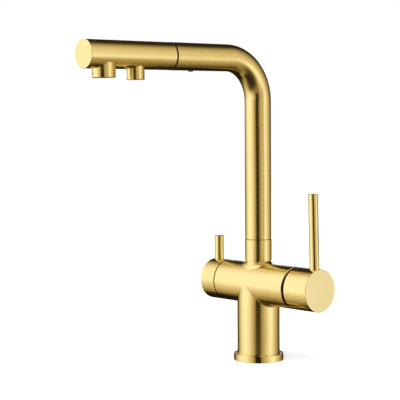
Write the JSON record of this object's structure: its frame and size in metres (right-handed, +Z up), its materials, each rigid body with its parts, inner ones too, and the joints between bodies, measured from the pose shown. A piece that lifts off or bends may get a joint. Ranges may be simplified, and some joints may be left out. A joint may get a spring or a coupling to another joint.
{
  "type": "three way filtered water tap",
  "caption": "Deck-mounted kitchen tap with an L-shaped swivel spout, a pull-out spray head with separate mixed and filtered outlets, a side mixing lever and a quarter-turn filter lever.",
  "frame": {"origin": "centre of the base flange's underside, on the worktop", "axes": "+Z up along the column, -Y towards the spout's tip over the sink, +X towards the hot and cold mixer"},
  "size_m": [0.1607, 0.2546, 0.337],
  "materials": {
    "brushed_gold": "satin brushed gold plating",
    "polished_gold": "finely brushed, nearly polished gold plating",
    "raw_brass": "machined brass",
    "steel": "plain stainless steel",
    "black_steel": "blackened steel",
    "black_rubber": "moulded sealing rubber",
    "black_plastic": "moulded black plastic",
    "bearing_plastic": "moulded white acetal",
    "aerator_plastic": "moulded grey plastic",
    "ceramic": "lapped white ceramic",
    "hose_braid": "woven grey nylon braid",
    "clear_tube": "milky food-grade tube",
    "red_enamel": "enamel dot",
    "blue_enamel": "enamel dot"
  },
  "bodies": {
    "tap_body": {"body_casting": "brushed_gold", "base_flange": "polished_gold", "base_gasket": "black_rubber", "spout_collar": "brushed_gold", "spout_stop_screw": "steel", "cartridge_housing": "bearing_plastic", "cartridge_seals": "black_rubber", "ceramic_fixed_disc": "ceramic", "cartridge_nut": "raw_brass", "filter_valve_housing": "raw_brass", "filter_valve_seal": "black_rubber", "filter_fixed_disc": "ceramic", "hose_in_column": "hose_braid", "filtered_tube_in_column": "clear_tube"},
    "spout": {"spout_tube": "brushed_gold", "spout_spigot": "raw_brass", "spout_o_rings": "black_rubber", "spout_slip_ring": "black_plastic", "docking_sleeve": "black_plastic", "docking_screw": "black_steel", "hose_in_spout": "hose_braid", "filtered_tube_in_spout": "clear_tube"},
    "spray_head": {"head_shell": "brushed_gold", "mixed_outlet_barrel": "brushed_gold", "filtered_outlet_barrel": "brushed_gold", "mixed_aerator_ring": "polished_gold", "mixed_aerator_grid": "aerator_plastic", "filtered_water_insert": "aerator_plastic", "head_waterway": "bearing_plastic", "docking_nose": "black_plastic", "nose_o_ring": "black_rubber", "check_valve": "bearing_plastic", "hose_fitting": "raw_brass", "hose_ferrule": "steel", "hose_pulled_out": "hose_braid", "filtered_tube_pulled_out": "clear_tube"},
    "mixer_rotor": {"cartridge_rotor": "bearing_plastic", "cartridge_pivot_pin": "steel"},
    "mixer_disc": {"ceramic_moving_disc": "ceramic", "disc_driver": "bearing_plastic"},
    "mixer_knob": {"cartridge_stem": "raw_brass", "mixer_knob": "brushed_gold", "mixer_lever": "polished_gold", "mixer_set_screw": "steel", "red_mark": "red_enamel", "blue_mark": "blue_enamel"},
    "filter_knob": {"filter_spindle": "raw_brass", "filter_spindle_o_ring": "black_rubber", "filter_spindle_circlip": "steel", "filter_moving_disc": "ceramic", "filter_knob": "brushed_gold", "filter_lever": "polished_gold", "filter_set_screw": "steel"}
  },
  "joints": [
    {"name": "spout_swivel", "type": "hinge", "parent": "tap_body", "child": "spout", "pos_m": [0, 0, 0.13], "axis": [0, 0, 1], "range_deg": [-70, 70]},
    {"name": "spray_head_pull", "type": "slide", "parent": "spout", "child": "spray_head", "axis": [0, -0.9998, -0.0175], "range_m": [0, 0.35]},
    {"name": "mixer_temperature", "type": "hinge", "parent": "tap_body", "child": "mixer_rotor", "pos_m": [0.05, 0, 0.0825], "axis": [1, 0, 0], "range_deg": [-45, 45]},
    {"name": "mixer_flow", "type": "hinge", "parent": "mixer_rotor", "child": "mixer_knob", "pos_m": [0.048, 0, 0.0825], "axis": [0, 1, 0], "range_deg": [0, 22]},
    {"name": "mixer_disc_slide", "type": "slide", "parent": "mixer_rotor", "child": "mixer_disc", "axis": [0, 0, 1], "range_m": [0, 0.0036]},
    {"name": "filter_turn", "type": "hinge", "parent": "tap_body", "child": "filter_knob", "pos_m": [-0.05, 0, 0.0825], "axis": [1, 0, 0], "range_deg": [0, 90]}
  ],
  "couplings": [
    {"joint": "mixer_disc_slide", "follows": "mixer_flow", "m_per_rad": 0.00887}
  ]
}
